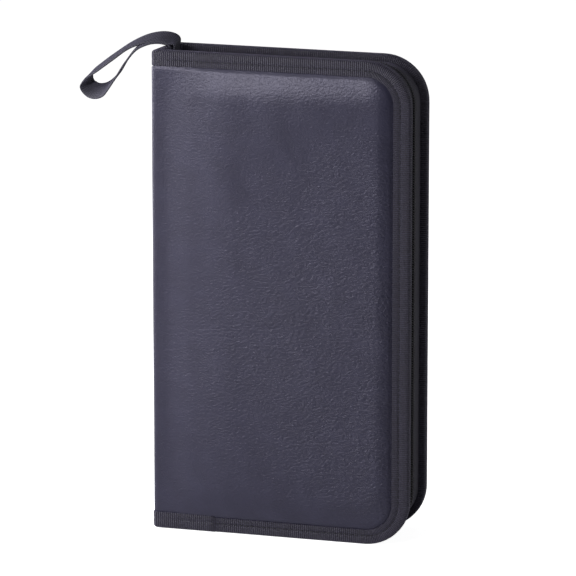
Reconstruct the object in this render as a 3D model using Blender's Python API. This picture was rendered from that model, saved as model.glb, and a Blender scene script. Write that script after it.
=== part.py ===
"""Zip-round storage case for discs, standing upright on its foot.

The front is at -Y, the spine at -X, the zip side at +X and +Z is up. The origin is in the middle
of the spine's foot. Every size is in metres.

The case is a soft book: a front and a back cover of leather over foam and board, a spine wall that
joins them, a woven tape bound round every raw edge, a block of sleeve leaves on the spine, and a
zip whose two halves stand on the covers' rims as a side wall. A webbing strap is sewn in at the
top of the spine.
"""

import math

import bmesh
import bpy
from mathutils import Vector

# Case, measured over the binding tape
CASE_H = 0.290
CASE_W = 0.157
CASE_T = 0.045
BACK_DROP = 0.003  # the back cover's top edge stands this much lower than the front one's
CORNER_R = 0.027  # rounding of the two zip-side corners of each cover
SPINE_R = 0.004  # fold radius of the leather at the spine's two long edges
CLEAR = 0.0003  # gap between neighbouring layers

# Layers of a cover and of the spine wall, from outside to inside
BINDING_T = 0.0009
SKIN_T = 0.0010
BOARD_T = 0.0016
LINING_T = 0.0008

# Binding tape
BINDING_W = 0.0105  # leg that shows on the outside
BINDING_INNER_W = 0.0085  # leg on the inside
BINDING_FOLD_R = 0.0018
LAP_LENGTH = 0.038  # the tape's end lies over its start on the front cover's foot
LAP_EXTRA_W = 0.0010
LAP_RISE = 0.0005

# Padded panel of each cover
PAD_EDGE_RISE = 0.0024  # height of the pad's steep edge beside the binding
PAD_EDGE_RUN = 0.0045
PAD_CROWN = 0.0010  # further slow rise to the middle of the panel
PAD_CROWN_RUN = 0.030
PAD_HINGE_RUN = 0.016  # the panel rises over this width beside the spine
PAD_ZIP_RUN = 0.012  # the panel falls over this much more width on the zip side
HINGE_ARM = 0.0010  # soft strip of the spine wall that turns onto each cover
BOARD_INSET = 0.0030
BOARD_HINGE_INSET = 0.0012
FOAM_MIN_T = 0.0005

# Zip
ZIP_INSET = 0.0040  # the zip wall stands this far in from the rims
TAPE_T = 0.0008
TAPE_FOOT_W = 0.0050
TOOTH_LENGTH = 0.0026
TOOTH_T = 0.0018
TOOTH_PITCH = 0.0034
TOOTH_NOTCH = 0.0009
ROW_GAP = 0.0008  # between the two rows of teeth
ZIP_START = 0.0195  # the rows begin this far from the spine's outer face
SLIDER_PASS = 0.0070  # the front row begins this much later at the foot, so that the slider swings past
STOP_LENGTH = 0.0022
TAPE_LEAD = 0.0040  # the tape runs on past the row's end

# Slider and pull tab
SLIDER_LENGTH = 0.0090
SLIDER_PLATE_T = 0.0007
SLIDER_CLEAR = 0.0003
SLIDER_FLANGE_T = 0.0007
SLIDER_POST_W = 0.0004
SLIDER_POST_LENGTH = 0.0026
TAB_PIN_R = 0.0005
TAB_EYE_R = 0.0010
TAB_EYE_CLEAR = 0.0002
TAB_T = 0.0008
TAB_W = 0.0030
TAB_LENGTH = 0.0190
TAB_END_W = 0.0062
EAR_T = 0.0008
EAR_CLEAR = 0.0003
SLIDER_NOSE_CUT = 0.0012
TAB_PIN_PLACE = 0.0055  # from the slider's end at the spine

# Leaves
LEAF_COUNT = 12
LEAF_GAP = 0.0006
LEAF_STEP = 0.0012  # the leaves' edges stand out this far from the folds between them
LEAF_EDGE_GAP = 0.0087  # from the leaves' outer edge to the rows of teeth
LEAF_CORNER_R = 0.0060
LEAF_FOOT = 0.0110
LEAF_HEAD = 0.0095
BINDER_T = 0.0012

# Wrist strap
STRAP_W = 0.0110
STRAP_T = 0.0012
STRAP_STEPS = 60
# The strap's route as knots: place from the spine's outer face (x), the middle (y) and the head (z),
# then the direction across the webbing.
STRAP_ROUTE = [
    (0.0087, 0.0000, -0.0110, 0.0, 1.0, 0.0),
    (0.0087, 0.0000, -0.0040, 0.0, 1.0, 0.0),
    (0.0092, 0.0000, 0.0012, 0.0, 1.0, 0.0),
    (0.0062, 0.0002, 0.0036, 0.0, 1.0, 0.12),
    (-0.0010, 0.0005, 0.0043, 0.0, 1.0, 0.26),
    (-0.0100, 0.0008, 0.0018, 0.0, 1.0, 0.28),
    (-0.0200, 0.0010, -0.0027, 0.0, 1.0, 0.26),
    (-0.0300, 0.0012, -0.0098, 0.0, 1.0, 0.32),
    (-0.0392, 0.0025, -0.0167, 0.1, 1.0, 0.40),
    (-0.0470, 0.0055, -0.0228, 0.30, 0.85, 0.42),
    (-0.0487, 0.0070, -0.0286, 0.46, 0.66, 0.60),
    (-0.0438, 0.0053, -0.0320, 0.45, 0.50, 0.74),
    (-0.0360, 0.0020, -0.0299, 0.26, 0.63, 0.74),
    (-0.0274, -0.0015, -0.0207, 0.0, 0.95, 0.20),
    (-0.0213, -0.0030, -0.0115, -0.1, 1.0, 0.10),
    (-0.0150, -0.0026, -0.0037, -0.1, 1.0, 0.10),
    (-0.0080, -0.0015, 0.0005, 0.0, 1.0, 0.05),
    (-0.0010, -0.0005, 0.0014, 0.0, 1.0, 0.0),
    (0.0052, 0.0000, 0.0009, 0.0, 1.0, 0.0),
    (0.0073, 0.0000, -0.0040, 0.0, 1.0, 0.0),
    (0.0073, 0.0000, -0.0110, 0.0, 1.0, 0.0),
]

# Least roundings
MIN_CORNER_R = 0.0010  # of the rings of a panel
MIN_INNER_R = 0.0003  # of the spine wall's inner face

# Steps of the curves
ARC_STEPS = 8
FOLD_STEPS = 4
PIN_SIDES = 16
PAD_EDGE_STEPS = 4
PAD_CROWN_STEPS = 3

# Places that follow from the sizes
RIM_T = 2 * BINDING_T + SKIN_T + BOARD_T + LINING_T + 4 * CLEAR
OUTER_X = -RIM_T / 2
ZIP_SIDE_X = OUTER_X + CASE_W
HINGE_X = OUTER_X + RIM_T + HINGE_ARM
HALF_T = CASE_T / 2

# Depth of each layer below the binding's outer face
SKIN_DEPTH = BINDING_T + CLEAR
BOARD_DEPTH = SKIN_DEPTH + SKIN_T + CLEAR
LINING_DEPTH = BOARD_DEPTH + BOARD_T + CLEAR
LINING_INNER_DEPTH = LINING_DEPTH + LINING_T
LAYER_INSET = BINDING_T + CLEAR
TAPE_DEPTH = RIM_T + CLEAR
ROW_Y = ROW_GAP / 2
TAPE_EDGE_Y = ROW_Y + TOOTH_LENGTH + CLEAR
FRONT_TOP = CASE_H
BACK_TOP = CASE_H - BACK_DROP
PAD_START = BINDING_W + LAP_EXTRA_W + CLEAR
ROW_START_X = OUTER_X + ZIP_START
TAPE_START_X = ROW_START_X - TAPE_LEAD
TAIL_START_X = HINGE_X
SLIDER_START_X = ROW_START_X - SLIDER_LENGTH - CLEAR
TAB_PIN_X = SLIDER_START_X + TAB_PIN_PLACE
TAB_PIN_Z = (
    ZIP_INSET + TAPE_T / 2 - TOOTH_T / 2 - SLIDER_CLEAR - SLIDER_PLATE_T - TAB_EYE_CLEAR - TAB_EYE_R
)
EAR_R = TAB_EYE_R
EAR_Y = TAB_W / 2 + EAR_CLEAR
LEAVES_HALF_T = HALF_T - TAPE_DEPTH - TAPE_T - CLEAR
LEAF_START_X = OUTER_X + LINING_INNER_DEPTH + 2 * CLEAR + BINDER_T
LEAF_END_X = ZIP_SIDE_X - ZIP_INSET - (TAPE_T + TOOTH_T) / 2 - LEAF_EDGE_GAP


def clear_scene():
    """Remove every object that the file opened with."""
    for obj in list(bpy.data.objects):
        bpy.data.objects.remove(obj, do_unlink=True)


def finish_material(name, colour, roughness, metallic=0.0):
    """Return a Principled material with one colour, roughness and metallic value."""
    material = bpy.data.materials.new(name)
    material.use_nodes = True
    shader = material.node_tree.nodes["Principled BSDF"]
    shader.inputs["Base Color"].default_value = (*colour, 1.0)
    shader.inputs["Roughness"].default_value = roughness
    shader.inputs["Metallic"].default_value = metallic
    material.diffuse_color = (*colour, 1.0)
    return material


def add_mesh(name, points, faces, material, smooth_angle=35.0):
    """Make one closed mesh object with its faces turned outwards."""
    mesh = bpy.data.meshes.new(name)
    mesh.from_pydata([tuple(p) for p in points], [], faces)
    shape = bmesh.new()
    shape.from_mesh(mesh)
    bmesh.ops.recalc_face_normals(shape, faces=shape.faces)
    shape.to_mesh(mesh)
    shape.free()
    mesh.shade_smooth()
    mesh.set_sharp_from_angle(angle=math.radians(smooth_angle))
    obj = bpy.data.objects.new(name, mesh)
    obj.data.materials.append(material)
    bpy.context.scene.collection.objects.link(obj)
    return obj


def loft(name, loops, material, smooth_angle=35.0):
    """Join closed loops of equal length, one after the other, and cap both ends."""
    count = len(loops[0])
    points = [point for loop in loops for point in loop]
    faces = []
    for k in range(len(loops) - 1):
        for i in range(count):
            j = (i + 1) % count
            faces.append((k * count + i, k * count + j, (k + 1) * count + j, (k + 1) * count + i))
    faces.append(tuple(range(count)))
    last = (len(loops) - 1) * count
    faces.append(tuple(last + i for i in range(count)))
    return add_mesh(name, points, faces, material, smooth_angle)


def prism(name, outline, low, high, to_point, material):
    """Extrude a flat outline between two levels. to_point turns (u, v, level) into a point."""
    loops = [[to_point(u, v, level) for u, v in outline] for level in (low, high)]
    return loft(name, loops, material)


def arc(centre, radius, start, end, steps):
    """Points on a circle in a plane, with both ends, from start to end in degrees."""
    found = []
    for k in range(steps + 1):
        angle = math.radians(start + (end - start) * k / steps)
        found.append((centre[0] + radius * math.cos(angle), centre[1] + radius * math.sin(angle)))
    return found


def unite(target, others):
    """Join other closed solids to the target with Boolean unions, and keep them as hidden guides."""
    for other in others:
        other.hide_render = True
        other.display_type = "WIRE"
        join = target.modifiers.new("join_" + other.name, "BOOLEAN")
        join.operation = "UNION"
        join.solver = "EXACT"
        join.object = other


class RimPath:
    """The line round a cover's three free sides, from the foot at the spine to the head at the spine.

    The line lies inset from the cover's outline, with its rounded zip-side corners. It can end at
    another place at the head than at the foot, and lie deeper in on the zip side.
    """

    def __init__(self, top, inset, start_x, head_x=None, zip_inset=0.0):
        self.start_x = start_x
        self.radius = max(CORNER_R - inset, MIN_CORNER_R)
        self.centre_x = ZIP_SIDE_X - inset - zip_inset - self.radius
        self.low_z = inset + self.radius
        self.high_z = top - inset - self.radius
        self.run = self.centre_x - start_x
        self.bend = self.radius * math.pi / 2
        self.side = self.high_z - self.low_z
        head_run = self.centre_x - (start_x if head_x is None else head_x)
        self.length = self.run + head_run + 2 * self.bend + self.side

    def station(self, distance):
        """Return the point (x, z) and the inward normal at a distance along the line."""
        if distance <= self.run:
            return (self.start_x + distance, self.low_z - self.radius), (0.0, 1.0)
        distance -= self.run
        if distance <= self.bend:
            return self._on_arc(self.low_z, distance / self.radius - math.pi / 2)
        distance -= self.bend
        if distance <= self.side:
            return (self.centre_x + self.radius, self.low_z + distance), (-1.0, 0.0)
        distance -= self.side
        if distance <= self.bend:
            return self._on_arc(self.high_z, distance / self.radius)
        distance -= self.bend
        return (self.centre_x - distance, self.high_z + self.radius), (0.0, -1.0)

    def _on_arc(self, centre_z, angle):
        """Return the point and inward normal on a corner."""
        out = (math.cos(angle), math.sin(angle))
        point = (self.centre_x + self.radius * out[0], centre_z + self.radius * out[1])
        return point, (-out[0], -out[1])

    def corner_stations(self):
        """Return the stations at both ends and all round both corners."""
        distances = [0.0]
        for begin in (self.run, self.run + self.bend + self.side):
            distances += [begin + self.bend * k / ARC_STEPS for k in range(ARC_STEPS + 1)]
        distances.append(self.length)
        return [self.station(d) for d in distances]

    def even_stations(self, count):
        """Return count + 1 stations at even distances."""
        return [self.station(self.length * k / count) for k in range(count + 1)]


def cover_loop(side, top, inset, hinge_inset, depth, zip_inset=0.0):
    """Return a cover's outline, inset from its rims and its hinge line, at a depth below the face."""
    path = RimPath(top, inset, HINGE_X + CLEAR / 2 + hinge_inset, zip_inset=zip_inset)
    y = side * (HALF_T - depth)
    return [(x, y, z) for (x, z), _ in path.corner_stations()]


def pad_ring(share):
    """Return (inset, hinge inset, extra zip inset, height) at a share of the pad's edge."""
    return (
        PAD_START + PAD_EDGE_RUN * share,
        PAD_HINGE_RUN * share,
        PAD_ZIP_RUN * share,
        PAD_EDGE_RISE * math.sin(math.pi / 2 * share),
    )


def pad_rings():
    """Return the rings from the flat rim to the middle of the padded panel."""
    rings = [pad_ring(k / PAD_EDGE_STEPS) for k in range(PAD_EDGE_STEPS + 1)]
    for k in range(1, PAD_CROWN_STEPS + 1):
        share = k / PAD_CROWN_STEPS
        rings.append((
            PAD_START + PAD_EDGE_RUN + PAD_CROWN_RUN * share,
            PAD_HINGE_RUN + PAD_CROWN_RUN * share,
            PAD_ZIP_RUN,
            PAD_EDGE_RISE + PAD_CROWN * math.sin(math.pi / 2 * share),
        ))
    return rings


def make_skin(name, side, top, material):
    """The leather of one cover: flat under the binding, then raised over the foam."""
    rings = pad_rings()
    outer = [cover_loop(side, top, LAYER_INSET, 0.0, SKIN_DEPTH)]
    outer += [
        cover_loop(side, top, inset, hinge, SKIN_DEPTH - rise, at_zip)
        for inset, hinge, at_zip, rise in rings
    ]
    inner = [
        cover_loop(side, top, inset, hinge, SKIN_DEPTH + SKIN_T - rise, at_zip)
        for inset, hinge, at_zip, rise in reversed(rings)
    ]
    inner.append(cover_loop(side, top, LAYER_INSET, 0.0, SKIN_DEPTH + SKIN_T))
    # The loops run from the middle of the outer face round the edge to the middle of the inner one.
    return loft(name, list(reversed(outer)) + list(reversed(inner)), material, 60.0)


def make_foam(name, side, top, material):
    """The foam under a cover's leather: flat on the board, crowned on its outer face."""
    base = BOARD_DEPTH - CLEAR
    gap = SKIN_T + CLEAR
    start = pad_ring(math.asin((FOAM_MIN_T + CLEAR) / PAD_EDGE_RISE) / (math.pi / 2))
    rings = [start] + [ring for ring in pad_rings() if ring[3] > start[3] + CLEAR]
    loops = [cover_loop(side, top, start[0], start[1], base, start[2])]
    loops += [
        cover_loop(side, top, inset, hinge, SKIN_DEPTH + gap - rise, at_zip)
        for inset, hinge, at_zip, rise in rings
    ]
    return loft(name, loops, material, 60.0)


def make_sheet(name, side, top, inset, hinge_inset, depth, thickness, material):
    """A flat sheet of a cover, such as its board or its lining."""
    loops = [cover_loop(side, top, inset, hinge_inset, level) for level in (depth, depth + thickness)]
    return loft(name, loops, material)


def binding_section(leg, rise):
    """The binding's U in (inset from the edge, depth below the face), as a closed outline.

    rise lifts the outer leg's face where the tape's end lies over its start.
    """
    fold_r = BINDING_FOLD_R
    outline = [(leg, -rise)]
    outline += arc((fold_r, fold_r - rise), fold_r, -90, -180, FOLD_STEPS)
    outline += arc((fold_r, RIM_T - fold_r), fold_r, 180, 90, FOLD_STEPS)
    outline += [
        (BINDING_INNER_W, RIM_T),
        (BINDING_INNER_W, RIM_T - BINDING_T),
        (BINDING_T, RIM_T - BINDING_T),
        (BINDING_T, BINDING_T),
        (leg, BINDING_T),
    ]
    return outline


def make_binding(name, side, top, lapped, material):
    """The woven tape folded over a cover's three free edges."""
    path = RimPath(top, 0.0, HINGE_X + CLEAR / 2)
    plain = binding_section(BINDING_W, 0.0)
    stations = [(station, plain) for station in path.corner_stations()]
    if lapped:
        lap = binding_section(BINDING_W + LAP_EXTRA_W, LAP_RISE)
        lap_end = LAP_LENGTH - (HINGE_X - OUTER_X)
        stations[0] = (stations[0][0], lap)
        stations.insert(1, (path.station(lap_end), lap))
        stations.insert(2, (path.station(lap_end + CLEAR), plain))
    loops = []
    for ((x, z), (nx, nz)), section in stations:
        loops.append([(x + nx * a, side * (HALF_T - b), z + nz * a) for a, b in section])
    return loft(name, loops, material)


def make_zip_tape(name, side, top, material):
    """One half's tape: a wall from the rim towards the middle, with a foot on the binding."""
    path = RimPath(top, ZIP_INSET, TAPE_START_X)
    foot_y = HALF_T - TAPE_DEPTH
    section = [
        (0.0, TAPE_EDGE_Y),
        (0.0, foot_y),
        (TAPE_FOOT_W, foot_y),
        (TAPE_FOOT_W, foot_y - TAPE_T),
        (TAPE_T, foot_y - TAPE_T),
        (TAPE_T, TAPE_EDGE_Y),
    ]
    loops = []
    for (x, z), (nx, nz) in path.corner_stations():
        loops.append([(x + nx * a, side * y, z + nz * a) for a, y in section])
    return loft(name, loops, material)


def make_teeth(name, side, top, material):
    """One half's row of teeth: a bar on the tape's edge whose tips stand out and fall back in turn."""
    foot_x = ROW_START_X + (SLIDER_PASS if side < 0 else 0.0)
    path = RimPath(top, ZIP_INSET, foot_x, ROW_START_X)
    half_pitches = 2 * round(path.length / TOOTH_PITCH)
    low = (TAPE_T - TOOTH_T) / 2
    high = (TAPE_T + TOOTH_T) / 2
    root_y = ROW_Y + TOOTH_LENGTH
    loops = []
    for k, ((x, z), (nx, nz)) in enumerate(path.even_stations(half_pitches)):
        tip_y = ROW_Y + TOOTH_NOTCH * (k % 2)
        section = [(low, tip_y), (low, root_y), (high, root_y), (high, tip_y)]
        loops.append([(x + nx * a, side * y, z + nz * a) for a, y in section])
    return loft(name, loops, material)


def make_top_stop(name, side, top, material):
    """The metal stop clenched on the tape at the head end of a row."""
    middle_z = top - ZIP_INSET - TAPE_T / 2
    half = TOOTH_T / 2
    outline = [(ROW_Y, -half), (ROW_Y + TOOTH_LENGTH, -half), (ROW_Y + TOOTH_LENGTH, half), (ROW_Y, half)]
    end_x = ROW_START_X - CLEAR
    return prism(
        name, outline, end_x - STOP_LENGTH, end_x,
        lambda y, z, x: (x, side * y, middle_z + z), material,
    )


def spine_stations():
    """Return (outer point, inner point) pairs in plan, round the spine wall from front to back."""
    arm_x = HINGE_X - CLEAR / 2
    inner_r = max(SPINE_R - RIM_T, MIN_INNER_R)
    stations = []
    for side, start, end in ((-1, -90, -180), (1, 180, 90)):
        outer = arc((OUTER_X + SPINE_R, side * (HALF_T - SPINE_R)), SPINE_R, start, end, ARC_STEPS)
        inner_centre = (OUTER_X + RIM_T + inner_r, side * (HALF_T - RIM_T - inner_r))
        inner = arc(inner_centre, inner_r, start, end, ARC_STEPS)
        corner = list(zip(outer, inner))
        arm = ((arm_x, side * HALF_T), (arm_x, side * (HALF_T - RIM_T)))
        stations += [arm] + corner if side < 0 else corner + [arm]
    return stations


def spine_top(y):
    """Height of the spine's head, which falls from the front cover to the lower back cover."""
    return FRONT_TOP - BACK_DROP * (y + HALF_T) / CASE_T


def spine_point(station, depth):
    """Return the plan point at a depth below the spine's outer face."""
    (ox, oy), (ix, iy) = station
    share = depth / RIM_T
    return ox + (ix - ox) * share, oy + (iy - oy) * share


def make_spine_wall(name, depth, thickness, inset, material):
    """A layer that follows the spine wall from one hinge line to the other."""
    loops = []
    for station in spine_stations():
        loop = []
        for levels, at_head in (((depth, depth + thickness), False), ((depth + thickness, depth), True)):
            for level in levels:
                x, y = spine_point(station, level)
                loop.append((x, y, spine_top(y) - inset if at_head else inset))
        loops.append(loop)
    return loft(name, loops, material)


def make_spine_board(name, material):
    """The flat stiffener of the spine, between the two folds."""
    half = HALF_T - RIM_T - CLEAR
    loops = []
    for depth in (BOARD_DEPTH, BOARD_DEPTH + BOARD_T):
        x = OUTER_X + depth
        loops.append([
            (x, -half, BOARD_INSET),
            (x, half, BOARD_INSET),
            (x, half, spine_top(half) - BOARD_INSET),
            (x, -half, spine_top(-half) - BOARD_INSET),
        ])
    return loft(name, loops, material)


def make_spine_binding(name, at_head, material):
    """The woven tape folded over the spine wall's head or foot."""
    section = binding_section(BINDING_W, 0.0)
    loops = []
    for station in spine_stations():
        loop = []
        for inset, depth in section:
            x, y = spine_point(station, depth)
            loop.append((x, y, spine_top(y) - inset if at_head else inset))
        loops.append(loop)
    return loft(name, loops, material)


def leaf_loop(shrink, y):
    """Outline of a leaf at one level, shrunk on every side, with its two outer corners rounded."""
    low_x = LEAF_START_X + min(shrink, CLEAR)
    high_x = LEAF_END_X - shrink
    low_z = LEAF_FOOT + shrink
    high_z = BACK_TOP - LEAF_HEAD - shrink
    radius = LEAF_CORNER_R
    outline = [(low_x, low_z)]
    outline += arc((high_x - radius, low_z + radius), radius, -90, 0, FOLD_STEPS)
    outline += arc((high_x - radius, high_z - radius), radius, 0, 90, FOLD_STEPS)
    outline.append((low_x, high_z))
    return [(x, y, z) for x, z in outline]


def make_leaves(name, material):
    """The block of sleeve leaves, each edge standing out from the folds between the leaves."""
    leaf_t = (2 * LEAVES_HALF_T - (LEAF_COUNT - 1) * LEAF_GAP) / LEAF_COUNT
    loops = []
    for k in range(LEAF_COUNT):
        near = -LEAVES_HALF_T + k * (leaf_t + LEAF_GAP)
        far = near + leaf_t
        if k > 0:
            loops.append(leaf_loop(LEAF_STEP, near))
        loops += [leaf_loop(0.0, near), leaf_loop(0.0, far)]
        if k < LEAF_COUNT - 1:
            loops.append(leaf_loop(LEAF_STEP, far))
    return loft(name, loops, material)


def make_binder(name, material):
    """The strip that binds the leaves to the spine's lining."""
    low_x = OUTER_X + LINING_INNER_DEPTH + CLEAR
    outline = [
        (low_x, -LEAVES_HALF_T), (low_x + BINDER_T, -LEAVES_HALF_T),
        (low_x + BINDER_T, LEAVES_HALF_T), (low_x, LEAVES_HALF_T),
    ]
    top = BACK_TOP - LEAF_HEAD
    return prism(name, outline, LEAF_FOOT, top, lambda x, y, z: (x, y, z), material)


def make_zip_tail(name, material):
    """The sewn-up end of both tapes at the spine, fixed to the back cover's rim."""
    low_x = TAIL_START_X
    high_x = TAPE_START_X - CLEAR
    low_y = -(ROW_Y + TOOTH_LENGTH)
    high_y = HALF_T - TAPE_DEPTH
    outline = [(low_x, low_y), (high_x, low_y), (high_x, high_y), (low_x, high_y)]
    return prism(name, outline, ZIP_INSET, ZIP_INSET + TAPE_T, lambda x, y, z: (x, y, z), material)


def make_slider(name, material):
    """The zip's slider: two flanged plates joined by a post, with ears and a pin for the tab."""
    middle_z = ZIP_INSET + TAPE_T / 2
    plate_z = TOOTH_T / 2 + SLIDER_CLEAR
    flange_z = TAPE_T / 2 + SLIDER_CLEAR
    flange_y = ROW_Y + TOOTH_LENGTH + SLIDER_CLEAR
    half_w = flange_y + SLIDER_FLANGE_T
    start_x = SLIDER_START_X
    end_x = start_x + SLIDER_LENGTH
    nose = SLIDER_NOSE_CUT
    plate = [
        (start_x, -half_w), (end_x - nose, -half_w), (end_x, -half_w + nose),
        (end_x, half_w - nose), (end_x - nose, half_w), (start_x, half_w),
    ]
    overlap = SLIDER_PLATE_T / 2
    levels = {
        "plate_low": (-plate_z - SLIDER_PLATE_T, -plate_z),
        "plate_high": (plate_z, plate_z + SLIDER_PLATE_T),
        "flange_low": (-plate_z - overlap, -flange_z),
        "flange_high": (flange_z, plate_z + overlap),
    }

    def flat(x, y, z):
        return x, y, middle_z + z

    def upright(x, z, y):
        return x, y, z

    body = prism(name, plate, *levels["plate_low"], flat, material)
    added = [prism("slider_plate_high", plate, *levels["plate_high"], flat, material)]
    for side, label in ((-1, "front"), (1, "back")):
        flange = [
            (start_x, side * flange_y), (end_x - nose, side * flange_y),
            (end_x - nose, side * half_w), (start_x, side * half_w),
        ]
        for level in ("flange_low", "flange_high"):
            added.append(prism(f"slider_{level}_{label}", flange, *levels[level], flat, material))
        # Each ear hangs from the outer plate and carries one end of the pin.
        ear_y = sorted((side * EAR_Y, side * (EAR_Y + EAR_T)))
        ear = [(TAB_PIN_X + EAR_R, middle_z - plate_z - overlap)]
        ear += arc((TAB_PIN_X, TAB_PIN_Z), EAR_R, 0, -180, ARC_STEPS)
        ear.append((TAB_PIN_X - EAR_R, middle_z - plate_z - overlap))
        added.append(prism(f"slider_ear_{label}", ear, *ear_y, upright, material))
    post_half = SLIDER_POST_W / 2
    post = [
        (end_x - nose - SLIDER_POST_LENGTH, -post_half), (end_x - nose, -post_half),
        (end_x - nose, post_half), (end_x - nose - SLIDER_POST_LENGTH, post_half),
    ]
    reach = plate_z + overlap
    added.append(prism("slider_post", post, -reach, reach, flat, material))
    pin_reach = EAR_Y + EAR_T / 2
    pin = arc((TAB_PIN_X, TAB_PIN_Z), TAB_PIN_R, 0, 360 - 360 / PIN_SIDES, PIN_SIDES - 1)
    added.append(prism("slider_pin", pin, -pin_reach, pin_reach, upright, material))
    unite(body, added)
    return body


def make_pull_tab(name, material):
    """The pull tab: an eye round the slider's pin and a flat blade that widens to its end."""
    def upright(x, z, y):
        return x, y, z

    def flat(x, y, z):
        return x, y, z

    half_t = TAB_T / 2
    eye = arc((TAB_PIN_X, TAB_PIN_Z), TAB_EYE_R, 0, 360 - 360 / PIN_SIDES, PIN_SIDES - 1)
    bore = arc((TAB_PIN_X, TAB_PIN_Z), TAB_PIN_R + TAB_EYE_CLEAR, 0, 360 - 360 / PIN_SIDES, PIN_SIDES - 1)
    half_w = TAB_W / 2
    half_end = TAB_END_W / 2
    start_x = TAB_PIN_X + TAB_PIN_R + TAB_EYE_CLEAR
    end_x = TAB_PIN_X + TAB_LENGTH
    shoulder_x = start_x + TAB_LENGTH / 3
    blade = [(start_x, -half_w), (shoulder_x, -half_end), (end_x - half_end, -half_end)]
    blade += arc((end_x - half_end, 0.0), half_end, -75, 75, ARC_STEPS)
    blade += [(end_x - half_end, half_end), (shoulder_x, half_end), (start_x, half_w)]
    tab = prism(name, eye, -half_w, half_w, upright, material)
    unite(tab, [prism("tab_blade", blade, TAB_PIN_Z - half_t, TAB_PIN_Z + half_t, flat, material)])
    hole = prism("tab_bore", bore, -TAB_W, TAB_W, upright, material)
    hole.hide_render = True
    hole.display_type = "WIRE"
    cut = tab.modifiers.new("bore", "BOOLEAN")
    cut.operation = "DIFFERENCE"
    cut.solver = "EXACT"
    cut.object = hole
    return tab


def smooth_route(knots, steps):
    """Read points from a smooth curve through the knots, at even shares of the knots."""
    found = []
    last = len(knots) - 1
    for k in range(steps + 1):
        place = last * k / steps
        i = min(int(place), last - 1)
        t = place - i
        before = knots[max(i - 1, 0)]
        here = knots[i]
        there = knots[i + 1]
        after = knots[min(i + 2, last)]
        value = []
        for p0, p1, p2, p3 in zip(before, here, there, after):
            value.append(
                p1
                + 0.5 * t * (p2 - p0)
                + t * t * (p0 - 2.5 * p1 + 2 * p2 - 0.5 * p3)
                + t * t * t * (1.5 * (p1 - p2) + 0.5 * (p3 - p0))
            )
        found.append(value)
    return found


def make_strap(name, material):
    """The folded webbing, sewn in at the spine's head, in one twisted loop."""
    route = smooth_route(STRAP_ROUTE, STRAP_STEPS)
    places = [Vector((OUTER_X + p[0], p[1], CASE_H + p[2])) for p in route]
    loops = []
    for k, place in enumerate(places):
        along = (places[min(k + 1, STRAP_STEPS)] - places[max(k - 1, 0)]).normalized()
        across = Vector(route[k][3:6])
        across = (across - along * across.dot(along)).normalized()
        out = along.cross(across)
        loop = []
        for u, v in ((-1, -1), (1, -1), (1, 1), (-1, 1)):
            loop.append(place + across * (u * STRAP_W / 2) + out * (v * STRAP_T / 2))
        loops.append(loop)
    return loft(name, loops, material, 60.0)


def pivot(name, place, members):
    """Hang a moving body's pieces from an empty on its joint's axis."""
    empty = bpy.data.objects.new(name, None)
    empty.empty_display_size = 0.01
    empty.location = place
    bpy.context.scene.collection.objects.link(empty)
    bpy.context.view_layer.update()
    for member in members:
        member.parent = empty
        member.matrix_parent_inverse = empty.matrix_world.inverted()
    return empty


def main():
    """Build every piece of the case."""
    clear_scene()
    leather = finish_material("black_leather", (0.045, 0.045, 0.060), 0.45)
    webbing = finish_material("black_webbing", (0.040, 0.038, 0.045), 0.85)
    foam = finish_material("grey_foam", (0.200, 0.200, 0.210), 0.95)
    board = finish_material("grey_board", (0.300, 0.280, 0.250), 0.90)
    lining = finish_material("black_lining", (0.030, 0.030, 0.034), 0.95)
    zip_cloth = finish_material("black_zip_tape", (0.025, 0.025, 0.030), 0.90)
    nylon = finish_material("black_nylon_coil", (0.030, 0.030, 0.035), 0.40)
    leaf = finish_material("white_sleeves", (0.700, 0.700, 0.720), 0.50)
    metal = finish_material("nickel_zinc", (0.550, 0.550, 0.560), 0.30, 1.0)

    covers = {}
    for label, side, top in (("front", -1, FRONT_TOP), ("back", 1, BACK_TOP)):
        covers[label] = [
            make_skin(label + "_skin", side, top, leather),
            make_foam(label + "_foam", side, top, foam),
            make_sheet(
                label + "_board", side, top, BOARD_INSET, BOARD_HINGE_INSET, BOARD_DEPTH, BOARD_T, board
            ),
            make_sheet(label + "_lining", side, top, LAYER_INSET, 0.0, LINING_DEPTH, LINING_T, lining),
            make_binding(label + "_binding", side, top, label == "front", webbing),
            make_zip_tape(label + "_zip_tape", side, top, zip_cloth),
            make_teeth(label + "_zip_teeth", side, top, nylon),
            make_top_stop(label + "_zip_stop", side, top, metal),
        ]
    covers["back"].append(make_zip_tail("zip_tail", zip_cloth))

    make_spine_wall("spine_skin", SKIN_DEPTH, SKIN_T, LAYER_INSET, leather)
    make_spine_board("spine_board", board)
    make_spine_wall("spine_lining", LINING_DEPTH, LINING_T, LAYER_INSET, lining)
    make_spine_binding("spine_foot_binding", False, webbing)
    make_spine_binding("spine_head_binding", True, webbing)
    make_binder("leaf_binder", lining)
    make_leaves("sleeve_leaves", leaf)
    make_strap("wrist_strap", webbing)

    slider = make_slider("zip_slider", metal)
    tab = make_pull_tab("pull_tab", metal)
    pivot("front_hinge", (HINGE_X, -HALF_T, 0.0), covers["front"])
    back = pivot("back_hinge", (HINGE_X, HALF_T, 0.0), covers["back"])
    track = pivot("slider_track", (SLIDER_START_X, 0.0, ZIP_INSET), [slider])
    tab_axis = pivot("tab_pin", (TAB_PIN_X, 0.0, TAB_PIN_Z), [tab])
    for child, parent in ((tab_axis, track), (track, back)):
        child.parent = parent
        child.matrix_parent_inverse = parent.matrix_world.inverted()


main()
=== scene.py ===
import logging
import math
from collections.abc import Callable
from dataclasses import dataclass
from enum import Enum

import bmesh
import bpy
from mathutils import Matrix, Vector, noise


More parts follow.
